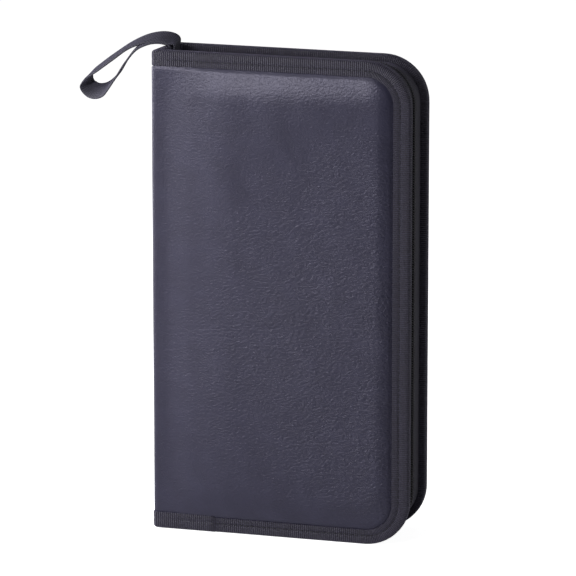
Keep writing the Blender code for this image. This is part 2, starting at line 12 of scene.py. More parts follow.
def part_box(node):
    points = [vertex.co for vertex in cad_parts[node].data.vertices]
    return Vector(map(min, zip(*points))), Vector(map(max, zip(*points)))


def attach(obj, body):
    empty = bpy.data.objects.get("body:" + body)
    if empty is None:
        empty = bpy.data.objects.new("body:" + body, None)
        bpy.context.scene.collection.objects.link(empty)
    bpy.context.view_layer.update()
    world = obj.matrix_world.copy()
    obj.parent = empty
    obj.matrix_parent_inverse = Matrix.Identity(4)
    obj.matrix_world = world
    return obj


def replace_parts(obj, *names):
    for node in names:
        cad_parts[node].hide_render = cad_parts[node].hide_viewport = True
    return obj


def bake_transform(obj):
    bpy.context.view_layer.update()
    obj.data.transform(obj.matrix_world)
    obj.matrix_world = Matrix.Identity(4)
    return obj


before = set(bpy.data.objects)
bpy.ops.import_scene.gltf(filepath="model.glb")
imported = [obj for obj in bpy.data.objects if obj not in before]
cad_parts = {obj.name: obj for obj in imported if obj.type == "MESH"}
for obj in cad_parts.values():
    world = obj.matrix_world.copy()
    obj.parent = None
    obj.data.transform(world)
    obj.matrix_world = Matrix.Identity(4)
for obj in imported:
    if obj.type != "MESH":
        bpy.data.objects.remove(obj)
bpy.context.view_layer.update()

log = logging.getLogger("disc_case")
Point = tuple[float, float, float]
Pair = tuple[float, float]
Socket = bpy.types.NodeSocket


class Side(Enum):
    """A cover: its name in the model and the direction in which it faces."""

    FRONT = ("front", -1.0)
    BACK = ("back", 1.0)

    @property
    def label(self) -> str:
        """The cover's name."""
        return self.value[0]

    @property
    def sign(self) -> float:
        """The sign of Y on the cover's outer face."""
        return self.value[1]


def linear(sheet_colour: str) -> tuple[float, float, float, float]:
    """Turn an sRGB hex value into linear red, green, blue and alpha.

    Args:
        sheet_colour: Six hex digits with a leading #.

    Returns:
        The linear colour with an alpha of 1.
    """
    channels = [int(sheet_colour[k:k + 2], 16) / 255 for k in (1, 3, 5)]
    turned = [c / 12.92 if c <= 0.04045 else ((c + 0.055) / 1.055) ** 2.4 for c in channels]
    return (turned[0], turned[1], turned[2], 1.0)


def add_node(tree: bpy.types.NodeTree, kind: str, links: dict | None = None,
             **settings: object) -> bpy.types.Node:
    """Add a shader node with its settings, socket values and incoming links.

    Args:
        tree: The material's node tree.
        kind: The node's type, without the leading ShaderNode.
        links: Socket name or index to either an output socket or a plain value.
        settings: Attributes of the node.

    Returns:
        The new node.
    """
    node = tree.nodes.new("ShaderNode" + kind)
    for name, value in settings.items():
        setattr(node, name, value)
    for key, value in (links or {}).items():
        if isinstance(value, Socket):
            tree.links.new(value, node.inputs[key])
        else:
            node.inputs[key].default_value = value
    return node


def clamp(share: float) -> float:
    """Hold a share between 0 and 1."""
    return min(max(share, 0.0), 1.0)


def even(first: float, last: float, count: int) -> list[float]:
    """Return the ends of a stretch and the even marks between them."""
    return [first + (last - first) * k / count for k in range(count + 1)]


def stir(x: float, y: float, z: float) -> float:
    """Return smooth noise about 0 at a place."""
    return noise.noise(Vector((x, y, z)))


def run_round(section: list[Pair]) -> list[float]:
    """Return how far round a closed section each point lies, and the whole way round at last."""
    found, last = [0.0], section[0]
    for point in section[1:] + section[:1]:
        found.append(found[-1] + math.dist(point, last))
        last = point
    return found


HEXAGON = tuple(math.pi / 3 * k for k in range(6))
SHARP_DEG = 50.0
MERGE = 2e-5


class Graph:
    """A material's nodes, with short calls for those that the finishes share."""

    def __init__(self, name: str, roughness: float) -> None:
        self.material = bpy.data.materials.new(name)
        self.material.use_nodes = True
        self.tree = self.material.node_tree
        self.shader = self.tree.nodes["Principled BSDF"]
        self.place = add_node(self.tree, "TexCoord").outputs["Object"]
        self.set({"Roughness": roughness})

    def set(self, values: dict[str, object]) -> None:
        """Set plain values on the shader."""
        for name, value in values.items():
            self.shader.inputs[name].default_value = value

    def math(self, operation: str, *values: Socket | float) -> Socket:
        """Do one step of arithmetic."""
        return add_node(self.tree, "Math", dict(enumerate(values)), operation=operation).outputs[0]

    def noise(self, scale: float, detail: float, roughness: float = 0.5, distortion: float = 0.0,
              place: Socket | None = None) -> Socket:
        """Return noise with a scale per metre, on the object's coordinates or on others."""
        return add_node(self.tree, "TexNoise", {
            "Vector": self.place if place is None else place, "Scale": scale, "Detail": detail,
            "Roughness": roughness, "Distortion": distortion}).outputs[0]

    def span(self, factor: Socket, low: float, high: float, to_low: float = 0.0, to_high: float = 1.0,
             **settings: object) -> Socket:
        """Carry a range over to another one, held at both ends."""
        links = {0: factor, 1: low, 2: high, 3: to_low, 4: to_high}
        return add_node(self.tree, "MapRange", links, **settings).outputs[0]


@dataclass(frozen=True)
class Finish:
    """What every finish shares: two colours that its surface varies between, gloss and relief."""

    name: str
    light: str
    dark: str
    roughness: float
    relief_mm: float = 0.05

    def start(self) -> Graph:
        """Make the material's graph."""
        return Graph(self.name, self.roughness)

    def close(self, graph: Graph, shade: Socket, height: Socket, gloss: Socket | None = None,
              spread: Pair = (0.0, 0.0)) -> bpy.types.Material:
        """Join colour, relief and gloss to the shader.

        Args:
            graph: The material's graph.
            shade: 0 for the dark colour, 1 for the light one.
            height: The surface's height in this finish's depth of relief.
            gloss: Where the roughness changes, if it does.
            spread: How far the roughness goes below and above its middle.

        Returns:
            The material.
        """
        tree, inputs = graph.tree, graph.shader.inputs
        tones = {0: shade, 6: linear(self.dark), 7: linear(self.light)}
        tree.links.new(add_node(tree, "Mix", tones, data_type="RGBA").outputs[2], inputs["Base Color"])
        relief = {"Height": height, "Distance": self.relief_mm / 1000, "Strength": 1.0}
        tree.links.new(add_node(tree, "Bump", relief).outputs[0], inputs["Normal"])
        if gloss is not None:
            low, high = self.roughness - spread[0], self.roughness + spread[1]
            tree.links.new(graph.span(gloss, 0.0, 1.0, low, high), inputs["Roughness"])
        return graph.material


@dataclass(frozen=True)
class PressedLeather(Finish):
    """Polyurethane-coated leather cloth, embossed with a fine pebble grain and calendered glossy.

    To the eye: near-black with a blue cast, a soft broad sheen, pebbles of about a millimetre,
    fine crinkles and a net of creases where the sheet was handled.
    """

    pebble_mm: float = 1.1
    crinkle_mm: float = 1.6
    crease_mm: float = 14.0
    crinkle_slant_deg: float = -18.0
    held_z: float = 0.12
    cast: str = "#E4E0F4"

    def material(self) -> bpy.types.Material:
        """Build the leather's material."""
        graph = self.start()
        tree, place = graph.tree, graph.place
        pebble = add_node(tree, "TexVoronoi", {"Vector": place, "Scale": 1000 / self.pebble_mm},
                          feature="SMOOTH_F1").outputs[0]
        ridge = graph.math("SUBTRACT", graph.noise(1000 / self.crease_mm, 5.0, 0.65, 1.2), 0.5)
        crease = graph.span(graph.math("ABSOLUTE", ridge), 0.0, 0.10, interpolation_type="SMOOTHSTEP")
        patch = graph.noise(9.0, 3.0)
        # Creases and crinkles gather in patches towards the zip side and half-way up, where the cover
        # is held and handled; elsewhere the sheet lies smoother.
        along = add_node(tree, "SeparateXYZ", {0: place}).outputs
        aside = graph.math("SUBTRACT", along[2], self.held_z)
        handled = graph.math("MULTIPLY_ADD", along[0], 3.0, patch)
        handled = graph.math("MULTIPLY_ADD", graph.math("MULTIPLY", aside, aside), -30.0, handled)
        patches = graph.span(handled, 0.40, 0.80)
        gather = add_node(tree, "Mix", {0: patches, 2: 1.0, 3: crease}).outputs[0]
        # The crinkles are about twice as long as they are wide, and run slightly down to the zip side.
        drawn = add_node(tree, "Mapping", {
            "Vector": place, "Rotation": (0.0, math.radians(self.crinkle_slant_deg), 0.0),
            "Scale": (0.7, 1.0, 1.25)}).outputs[0]
        crinkle = graph.noise(1000 / self.crinkle_mm, 3.0, 0.6, 0.6, drawn)
        swell = graph.noise(70.0, 4.0, 0.6)
        height = graph.math("MULTIPLY", crinkle, graph.span(patches, 0.0, 1.0, 0.75, 3.3))
        for part, weight in ((pebble, -0.30), (gather, 0.10), (swell, 0.70)):
            height = graph.math("MULTIPLY_ADD", part, weight, height)
        graph.set({"Specular Tint": linear(self.cast)})
        return self.close(graph, swell, height, patch, (0.05, 0.07))


@dataclass(frozen=True)
class Grosgrain(Finish):
    """Nylon tape woven with a heavy weft, which stands as ribs across the tape.

    To the eye: matt, ribbed across its length, with a faint edge where the warp turns; its colour is
    painted darker in the troughs between the ribs, as shade. The mesh carries its place along and
    across the tape as its UV map, in metres.
    """

    rib_mm: float = 1.2
    warp_mm: float = 0.8
    sheen: str = "#C9C2EA"

    def material(self) -> bpy.types.Material:
        """Build the tape's material."""
        graph = self.start()
        place = add_node(graph.tree, "SeparateXYZ", {0: add_node(graph.tree, "TexCoord").outputs["UV"]})
        rib = self.wave(graph, place.outputs[0], self.rib_mm)
        warp = self.wave(graph, place.outputs[1], self.warp_mm)
        fuzz = graph.noise(420.0, 4.0)
        height = graph.math("MULTIPLY_ADD", fuzz, 0.7, graph.math("MULTIPLY_ADD", warp, 0.25, rib))
        graph.set({"Sheen Weight": 0.25, "Sheen Roughness": 0.4, "Sheen Tint": linear(self.sheen)})
        # The colour goes to the dark tone in the troughs between the ribs: painted shade there. The fuzz adds
        # the yarn's own random tone.
        return self.close(graph, graph.math("MULTIPLY", fuzz, rib), height)

    @staticmethod
    def wave(graph: Graph, along: Socket, pitch_mm: float) -> Socket:
        """Return a wave from 0 to 1 with its crests a pitch apart."""
        turn = graph.math("MULTIPLY", along, 2000 * math.pi / pitch_mm)
        return graph.span(graph.math("SINE", turn), -1.0, 1.0)


@dataclass(frozen=True)
class Fleck(Finish):
    """A fibrous or moulded stuff without a direction: felt, non-woven cloth, board, foam or nylon.

    To the eye: an even tone broken by flecks of a given size.
    """

    fleck_mm: float = 0.8
    sheen: float = 0.0

    def material(self) -> bpy.types.Material:
        """Build the material."""
        graph = self.start()
        fleck = graph.noise(1000 / self.fleck_mm, 6.0, 0.7)
        both = graph.math("MULTIPLY_ADD", graph.noise(40.0, 2.0), 0.5, fleck)
        graph.set({"Sheen Weight": self.sheen})
        return self.close(graph, graph.span(both, 0.4, 1.1), fleck)


@dataclass(frozen=True)
class ClearFilm(Finish):
    """Cast polypropylene film, the clear front of a disc sleeve.

    To the eye: a bright hard gloss over the cloth behind, slightly puckered along its welds.
    """

    def material(self) -> bpy.types.Material:
        """Build the film's material."""
        graph = self.start()
        pucker = graph.noise(45.0, 2.0)
        graph.set({"Alpha": 0.35, "IOR": 1.49})
        return self.close(graph, pucker, pucker)


@dataclass(frozen=True)
class PlatedZinc(Finish):
    """Die-cast zinc with nickel plating.

    To the eye: a bright warm-grey mirror, rubbed a little softer in patches by handling.
    """

    def material(self) -> bpy.types.Material:
        """Build the metal's material."""
        graph = self.start()
        rub = graph.noise(350.0, 5.0)
        graph.set({"Metallic": 1.0})
        return self.close(graph, rub, rub, rub, (0.08, 0.15))


class Wardrobe:
    """Every finish of the case, made once."""

    def __init__(self) -> None:
        self.leather = PressedLeather("pu_leather_embossed", "#323143", "#232230", 0.35, 0.27).material()
        self.binding = Grosgrain("nylon_grosgrain_woven", "#3C384D", "#181522", 0.72, 0.36).material()
        self.webbing = Grosgrain("nylon_webbing_woven", "#3E3C4C", "#201F2A", 0.68, 0.16, 1.0, 1.4).material()
        self.zip_tape = Grosgrain("polyester_zip_tape_woven", "#1B1A20", "#0D0D10", 0.80, 0.10, 0.9,
                                  1.8).material()
        self.thread = Fleck("polyester_thread_spun", "#211F2B", "#121118", 0.60, 0.03, 0.4).material()
        self.coil = Fleck("nylon_coil_extruded", "#232228", "#16151A", 0.36, 0.01, 1.5).material()
        self.lining = Fleck("nonwoven_lining_felted", "#232329", "#121216", 0.92, 0.08, 0.7, 0.3).material()
        self.sleeve = Fleck("nonwoven_sleeve_spunbond", "#D8D8DC", "#B9B9C0", 0.85, 0.06, 0.9, 0.1).material()
        self.board = Fleck("greyboard_pressed", "#8E8A82", "#6E6A62", 0.92, 0.08, 1.2).material()
        self.foam = Fleck("polyethylene_foam_blown", "#6C6C70", "#4A4A4E", 0.95, 0.20, 1.0).material()
        self.film = ClearFilm("polypropylene_film_cast", "#F2F3F6", "#DDE0E6", 0.12, 0.35).material()
        self.metal = PlatedZinc("zinc_nickel_plated", "#C6C4C0", "#AEACA8", 0.26, 0.01).material()


@dataclass(frozen=True)
class CaseSizes:
    """The case's own sizes, in metres, as in its drawing."""

    height: float = 0.290
    width: float = 0.157
    thick: float = 0.045
    back_drop: float = 0.003
    corner_r: float = 0.027
    spine_r: float = 0.0022
    clear: float = 0.0003
    rim_t: float = 0.0064
    arm: float = 0.0010
    binding_t: float = 0.0009
    binding_w: float = 0.0105
    binding_inner_w: float = 0.0085
    binding_fold_r: float = 0.0018
    skin_depth: float = 0.0012
    skin_t: float = 0.0010
    lining_depth: float = 0.0044
    lining_t: float = 0.0008
    zip_inset: float = 0.0040
    zip_tape_t: float = 0.0008
    zip_foot_w: float = 0.0050
    tooth_reach: float = 0.0026
    row_y: float = 0.0004
    zip_start: float = 0.0195
    tape_lead: float = 0.0040
    slider_pass: float = 0.0070

    @property
    def outer_x(self) -> float:
        """The spine's outer face."""
        return -self.rim_t / 2

    @property
    def hinge_x(self) -> float:
        """Where the spine wall turns onto the covers."""
        return self.outer_x + self.rim_t + self.arm

    @property
    def zip_side_x(self) -> float:
        """The covers' free edge."""
        return self.outer_x + self.width

    @property
    def half_t(self) -> float:
        """Half of the case's thickness."""
        return self.thick / 2

    @property
    def flat(self) -> float:
        """The way from the middle of the spine wall to its rounded corner."""
        return self.half_t - self.spine_r

    @property
    def bend(self) -> float:
        """The way round that corner."""
        return self.spine_r * math.pi / 2

    @property
    def arm_s(self) -> float:
        """The way round the spine wall from its middle to the fold."""
        return self.flat + self.bend + self.hinge_x - self.outer_x - self.spine_r

    @property
    def sheet_reach(self) -> float:
        """The way from the middle of the spine wall to the leather's edge on the zip side."""
        return self.flat + self.bend + self.zip_side_x - self.skin_depth - self.outer_x - self.spine_r

    def round_spine(self, flat_steps: int, bend_steps: int) -> list[float]:
        """Return marks from the middle of the spine wall to the end of its corner, without that end."""
        corner = [self.flat + self.bend * k / bend_steps for k in range(bend_steps)]
        return even(0.0, self.flat, flat_steps)[:-1] + corner

    def top(self, side: Side) -> float:
        """The height of a cover."""
        return self.height if side is Side.FRONT else self.height - self.back_drop

    def spine_top(self, y: float) -> float:
        """The height of the spine's head, which falls towards the back cover."""
        return self.height - self.back_drop * (y + self.half_t) / self.thick


SIZES = CaseSizes()


@dataclass(frozen=True)
class Station:
    """A place on a rim: its point on the outer face, its point on the inner face and the way in."""

    outer: Vector
    inner: Vector
    inward: Vector
    along: float


class RimLine:
    """The line round a cover's free edges at an inset, with its two rounded corners."""

    def __init__(self, top: float, inset: float, start_x: float) -> None:
        self.start_x = start_x
        self.radius = SIZES.corner_r - inset
        self.centre_x = SIZES.zip_side_x - inset - self.radius
        self.low_z = inset + self.radius
        self.high_z = top - inset - self.radius
        self.run = self.centre_x - start_x
        self.bend = self.radius * math.pi / 2
        self.length = 2 * self.run + 2 * self.bend + self.high_z - self.low_z

    def at(self, distance: float) -> tuple[float, float, float, float]:
        """Find a place on the line.

        Args:
            distance: How far along the line from the foot at the spine.

        Returns:
            The place (x, z) and the inward normal (x, z).
        """
        side = self.high_z - self.low_z
        if distance <= self.run:
            return self.start_x + distance, self.low_z - self.radius, 0.0, 1.0
        distance -= self.run
        if distance <= self.bend:
            return self._corner(self.low_z, distance / self.radius - math.pi / 2)
        distance -= self.bend
        if distance <= side:
            return self.centre_x + self.radius, self.low_z + distance, -1.0, 0.0
        distance -= side
        if distance <= self.bend:
            return self._corner(self.high_z, distance / self.radius)
        return self.centre_x - distance + self.bend, self.high_z + self.radius, 0.0, -1.0

    def _corner(self, centre_z: float, angle: float) -> tuple[float, float, float, float]:
        """Return the place and the inward normal on a rounded corner."""
        c, s = math.cos(angle), math.sin(angle)
        return self.centre_x + self.radius * c, centre_z + self.radius * s, -c, -s

    def marks(self, pitch: float, begin: float = 0.0, end: float | None = None) -> list[float]:
        """Return even distances along the line, about a pitch apart."""
        end = self.length if end is None else end
        return even(begin, end, max(2, round((end - begin) / pitch)))


class MeshMaker:
    """Collects points, faces and their UV places, and makes a piece of the case."""

    def __init__(self, name: str) -> None:
        self.name = name
        self.points: list[Vector] = []
        self.faces: list[tuple[int, ...]] = []
        self.places: list[list[Pair]] = []

    def grid(self, rows: list[list[Vector]], places: list[list[Pair]] | None = None,
             closed: bool = True) -> None:
        """Join rows of points into a skin.

        Args:
            rows: Rows of equal length.
            places: The UV place of each point, with one more in each row where the rows are closed;
                without them the points' own x and z.
            closed: Whether each row is a closed loop, and the first and the last one are filled.
        """
        places = places or [[(p.x, p.z) for p in row + row[:1]] for row in rows]
        base, count = len(self.points), len(rows[0])
        for row in rows:
            self.points += row
        spans = count if closed else count - 1
        for r in range(len(rows) - 1):
            for i in range(spans):
                j = (i + 1) % count
                low, high = base + r * count, base + (r + 1) * count
                self.faces.append((low + i, low + j, high + j, high + i))
                self.places.append([places[r][i], places[r][i + 1], places[r + 1][i + 1], places[r + 1][i]])
        if closed:
            for r in (0, len(rows) - 1):
                self.faces.append(tuple(base + r * count + i for i in range(count)))
                self.places.append([places[r][i] for i in range(count)])

    def finish(self, material: bpy.types.Material, slot: str, angle: float = SHARP_DEG) -> bpy.types.Object:
        """Make the object, facing outwards, with one material.

        Args:
            material: The piece's finish.
            slot: Not used.
            angle: Edges sharper than this many degrees stay sharp.

        Returns:
            The new object.
        """
        mesh = bpy.data.meshes.new(self.name)
        mesh.from_pydata([tuple(p) for p in self.points], [], self.faces)
        layer = mesh.uv_layers.new(name="weave")
        flat = [value for face in self.places for place in face for value in place]
        layer.data.foreach_set("uv", flat)
        shape = bmesh.new()
        shape.from_mesh(mesh)
        bmesh.ops.recalc_face_normals(shape, faces=shape.faces)
        shape.to_mesh(mesh)
        shape.free()
        mesh.materials.append(material)
        mesh.shade_smooth()
        mesh.set_sharp_from_angle(angle=math.radians(angle))
        piece = bpy.data.objects.new(self.name, mesh)
        bpy.context.scene.collection.objects.link(piece)
        log.info("%s: %d points", self.name, len(self.points))
        return piece


@dataclass
class CoverPart:
    """What the makers of one cover's pieces share."""

    side: Side
    finishes: Wardrobe

    @property
    def sign(self) -> float:
        """The sign of Y on the cover's outer face."""
        return self.side.sign

    @property
    def top(self) -> float:
        """The cover's height."""
        return SIZES.top(self.side)

    @property
    def body(self) -> str:
        """The body that carries the cover."""
        return self.named("cover")

    def named(self, what: str) -> str:
        """Name one of the cover's pieces."""
        return self.side.label + "_" + what


@dataclass
class CoverShell(CoverPart):
    """One cover with its half of the spine's leather and binding, which bend at the fold."""

    pad_start: float = 0.0102
    end_narrow: float = 0.0015
    pad_zip_run: float = 0.0105
    pad_end_run: float = 0.0190
    pad_rise: float = 0.0048
    pad_crown: float = 0.0014
    crown_zip_run: float = 0.080
    crown_end_run: float = 0.045
    hinge_run: float = 0.045
    fold_run: float = 0.018
    fold_share: float = 0.3
    spine_rise: float = 0.0013
    level_run: float = 0.0018
    grid_pitch: float = 0.0013
    stitch_pitch: float = 0.0034
    stitch_length: float = 0.0026
    stitch_r: float = 0.00024
    stitch_share: float = 0.61
    lap_length: float = 0.038
    lap_rise: float = 0.0005
    lap_extra: float = 0.0010
    fold_before: float = 0.0035
    fold_after: float = 0.0035
    thinnest: float = 0.0003
    foam_gap: float = 0.0006
    foam_least: float = 0.0002
    solidify_spare: float = 0.0002
    groove_fade: float = 0.006
    stitch_sink: float = 0.0002
    pucker_from: float = 0.012
    over_binding: float = 0.0006

    @property
    def edge(self) -> RimLine:
        """The line round the cover's free edges."""
        return RimLine(self.top, 0.0, SIZES.hinge_x)

    def build(self) -> None:
        """Make the cover's leather, binding, stitches, foam and lining; only the foam is hung on the cover.
        """
        front = self.side is Side.FRONT
        leather = self.leather()
        self.hang(leather, self.named("skin"), *(["spine_skin"] if front else []))
        self.hang(self.tape(), self.named("binding"), "spine_head_binding" if front else "spine_foot_binding")
        self.hang(self.stitches())
        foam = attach(self.foam(), self.body)
        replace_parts(foam, self.named("foam"))
        lining, flat = self.lining()
        self.hang(lining, self.named("lining"), *(["spine_lining"] if front else []))
        self.named("board")

    def hang(self, piece: bpy.types.Object, *nodes: str) -> None:
        """Bake a piece's place into its mesh, and let it stand in place of nodes of the drawing."""
        fold = Vector((SIZES.hinge_x, self.sign * SIZES.half_t, 0.0))
        way = Vector((1.0, self.sign, 0.0)).normalized()
        self.body
        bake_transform(piece)
        if nodes:
            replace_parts(piece, *nodes)

    def wall(self, s: float, depth: float) -> Point:
        """Follow the spine wall and the cover's face in plan.

        Args:
            s: Distance along the outer face from the middle of the spine.
            depth: Depth below that face.

        Returns:
            The place (x, y) and how far the point lies past the end of the fold's corner.
        """
        sign, radius, flat, bend = self.sign, SIZES.spine_r, SIZES.flat, SIZES.bend
        centre = max(radius, depth + self.thinnest)
        if s <= flat:
            return SIZES.outer_x + depth, sign * s * (SIZES.half_t - centre) / flat, s - flat - bend
        if s <= flat + bend:
            angle = (s - flat) / radius
            reach = max(radius - depth, self.thinnest)
            return (SIZES.outer_x + centre - reach * math.cos(angle),
                    sign * (SIZES.half_t - centre + reach * math.sin(angle)), s - flat - bend)
        past = s - flat - bend
        # A layer inside the fold has a tighter corner, and is in step with the outer one at the hinge.
        lag = (centre - radius) * max(0.0, 1.0 - past / (SIZES.hinge_x - SIZES.outer_x - radius))
        return SIZES.outer_x + radius + past + lag, sign * (SIZES.half_t - depth), past

    def margins(self, share: float) -> Pair:
        """Return how far in the slope's contour at a share of its height lies: zip side, ends."""
        return (self.pad_start + self.pad_zip_run * share,
                self.pad_start - self.end_narrow + self.pad_end_run * share)

    def rim_distance(self, x: float, z: float, to_zip: float = 0.0, to_end: float = 0.0) -> float:
        """Return how far a place lies in from the cover's free edges, or from a contour inside them."""
        r = max(SIZES.corner_r - to_zip, 0.001)
        dx, dz = SIZES.zip_side_x - to_zip - x, min(z, self.top - z) - to_end
        if dx < r and dz < r:
            return r - math.hypot(r - dx, r - dz)
        return min(dx, dz)

    def edge_share(self, x: float, z: float) -> float:
        """Return 0 under the binding and 1 where the panel's slope ends, which is steeper beside the zip."""
        low, high = 0.0, 1.0
        if self.rim_distance(x, z, *self.margins(high)) >= 0.0:
            return high
        for _ in range(12):
            middle = (low + high) / 2
            if self.rim_distance(x, z, *self.margins(middle)) >= 0.0:
                low = middle
            else:
                high = middle
        return low

    def pad(self, x: float, z: float) -> float:
        """Return the padded panel's height over the flat rim."""
        across = self.swell(self.edge_share(x, z))
        past = x - SIZES.hinge_x
        beside = self.fold_share * self.ease(past / self.fold_run)
        beside += (1.0 - self.fold_share) * self.ease(past / self.hinge_run)
        to_zip = self.swell((SIZES.zip_side_x - self.pad_start - self.pad_zip_run - x) / self.crown_zip_run)
        to_end = self.swell((min(z, self.top - z) - self.pad_start) / self.crown_end_run)
        # The sheet comes up level with the binding at once, and rises on over the foam from there.
        level = self.swell((self.rim_distance(x, z, 0.0, -self.end_narrow) - self.pad_start) / self.level_run)
        rise = (self.pad_rise - self.spine_rise) * beside
        over = across * (rise + self.pad_crown * beside * to_zip * to_end)
        return level * (self.spine_rise + self.wrinkle(x, z) * (0.25 + 0.75 * beside)) + over

    @staticmethod
    def swell(share: float) -> float:
        """Rise from 0 to 1, steep at first and level at the end."""
        return math.sin(math.pi / 2 * clamp(share))

    @staticmethod
    def ease(share: float) -> float:
        """Rise from 0 to 1, level at both ends."""
        return 0.5 - 0.5 * math.cos(math.pi * clamp(share))

    def wrinkle(self, x: float, z: float) -> float:
        """Return how far the handled sheet stands up or down: slow swells, drag lines and creases."""
        turn = 3.0 * self.sign
        swell = stir(x * 26, z * 17, turn) * 0.00034
        drag = stir(x * 55 + z * 30, z * 20, turn + 7.0) * 0.00026
        worn = clamp(stir(x * 14, z * 9, turn + 21.0) * 2.2 + 0.45)
        place = Vector((x * 60 + z * 14, z * 42, turn + 11.0))
        fine = noise.ridged_multi_fractal(place, 1.0, 2.1, 3, 1.0, 2.0)
        return swell + drag + 0.00020 * worn * (fine - 1.0)

    def spread(self, maker: MeshMaker, stops: list[float], levels: int, depth: float,
               settle: Callable[[Point, float, float, float], Point]) -> None:
        """Lay a sheet from the middle of the spine to the cover's rim.

        Args:
            maker: What collects the sheet.
            stops: Distances along the outer face from the middle of the spine.
            levels: How many faces go up the sheet.
            depth: How deep the sheet lies below the outer face.
            settle: Moves a place to its own height, given the height of the edge over it, the
                distance along the outer face and how far that is past the fold's corner.
        """
        rows, inset = [], SIZES.skin_depth
        for s in stops:
            x, y, past = self.wall(s, depth)
            top = self.top if past > 0 else SIZES.spine_top(y)
            rows.append([Vector(settle((x, y, inset + (top - 2 * inset) * k / levels), top, s, past))
                         for k in range(levels + 1)])
        maker.grid(rows, [[(s, p.z) for p in row] for s, row in zip(stops, rows)], closed=False)

    def leather(self) -> bpy.types.Object:
        """Make the leather from the middle of the spine to the cover's rim."""
        maker = MeshMaker(self.named("leather"))
        corner = SIZES.flat + SIZES.bend
        count = round((SIZES.sheet_reach - corner) / self.grid_pitch)
        stops = SIZES.round_spine(10, 6) + even(corner, SIZES.sheet_reach, count)

        def settle(place: Point, top: float, s: float, past: float) -> Point:
            """Raise the padded panel over the foam, and the spine's leather level with its bindings."""
            x, y, z = place
            if past > 0:
                x, z = self.inside_rim(x, z)
                return x, y + self.sign * self.pad(x, z), z
            share = clamp((min(z, top - z) - self.pad_start + self.end_narrow) / self.level_run)
            x, y, _ = self.wall(s, SIZES.skin_depth - self.spine_rise * self.swell(share))
            return x + 0.00016 * share * stir(y * 30, z * 20, 5.0), y, z

        self.spread(maker, stops, round(self.top / self.grid_pitch), SIZES.skin_depth, settle)
        piece = maker.finish(self.finishes.leather, "black_leather")
        self.thicken(piece, SIZES.skin_t - self.solidify_spare)
        return piece

    def contour(self, share: float) -> list[Pair]:
        """Return a closed outline on the panel at a share of its slope, from the foot at the hinge round."""
        to_zip, low = self.margins(share)
        high = self.top - low
        r = max(SIZES.corner_r - to_zip, 0.001)
        start, end = SIZES.hinge_x + 0.002 + 0.012 * share, SIZES.zip_side_x - to_zip
        arc = [(r * math.sin(a), r * math.cos(a)) for a in (math.pi / 12 * k for k in range(6))]
        found = [(x, low) for x in even(start, end - r, 12)[:-1]]
        found += [(end - r + near, low + r - far) for near, far in arc]
        found += [(end, z) for z in even(low + r, high - r, 16)[:-1]]
        found += [(end - r + far, high - r + near) for near, far in arc]
        found += [(x, high) for x in even(end - r, start, 12)[:-1]]
        return found + [(start, z) for z in even(high, low, 16)[:-1]]

    def foam(self) -> bpy.types.Object:
        """Make the foam, flat on the board and just under the leather on its other face."""
        maker = MeshMaker(self.named("foam_pad"))
        base = SIZES.half_t - SIZES.skin_depth - SIZES.skin_t
        last = self.contour(1.0)
        centre = (sum(x for x, _ in last) / len(last), sum(z for _, z in last) / len(last))
        outlines = [self.contour(share) for share in (0.3, 0.5, 0.7, 0.85, 1.0)]
        for keep in (0.85, 0.7, 0.5, 0.3, 0.1):
            outlines.append([(centre[0] + (x - centre[0]) * keep, centre[1] + (z - centre[1]) * keep)
                             for x, z in last])
        rows = [[Vector((x, self.sign * base, z)) for x, z in outlines[0]]]
        for outline in outlines:
            row = []
            for x, z in outline:
                height = max(self.pad(x, z) - self.foam_gap, self.foam_least)
                row.append(Vector((x, self.sign * (base + height), z)))
            rows.append(row)
        maker.grid(rows)
        return maker.finish(self.finishes.foam, "grey_foam")

    def lining(self) -> tuple[bpy.types.Object, Pair]:
        """Make the lining from the middle of the spine to the cover's rim, and tell its cut size."""
        maker = MeshMaker(self.named("lining_cloth"))
        stops = SIZES.round_spine(6, 3) + even(SIZES.flat + SIZES.bend, SIZES.sheet_reach, 44)

        def settle(place: Point, _top: float, _s: float, past: float) -> Point:
            """Pucker the cloth where it lies free of the binding."""
            if past <= self.pucker_from:
                return place
            x, z = self.inside_rim(place[0], place[2])
            free = self.swell((self.rim_distance(x, z) - SIZES.binding_inner_w) / 0.006)
            pucker = stir(x * 32 + z * 8, z * 24, 9.0 * self.sign)
            return x, place[1] - self.sign * free * (0.00022 + 0.00030 * pucker), z

        self.spread(maker, stops, 80, SIZES.lining_depth + SIZES.lining_t, settle)
        piece = maker.finish(self.finishes.lining, "black_lining")
        self.thicken(piece, self.solidify_spare - SIZES.lining_t)
        return piece, (SIZES.sheet_reach, self.top - 2 * SIZES.skin_depth)

    def inside_rim(self, x: float, z: float) -> Pair:
        """Pull a place outside the rounded corner back onto the leather's own outline."""
        r, top = SIZES.corner_r, self.top
        centre_x = SIZES.zip_side_x - r
        centre_z = r if z < top / 2 else top - r
        if x <= centre_x or r < z < top - r:
            return x, z
        dx, dz = x - centre_x, z - centre_z
        keep = min(1.0, (r - SIZES.skin_depth) / max(math.hypot(dx, dz), 1e-9))
        return centre_x + dx * keep, centre_z + dz * keep

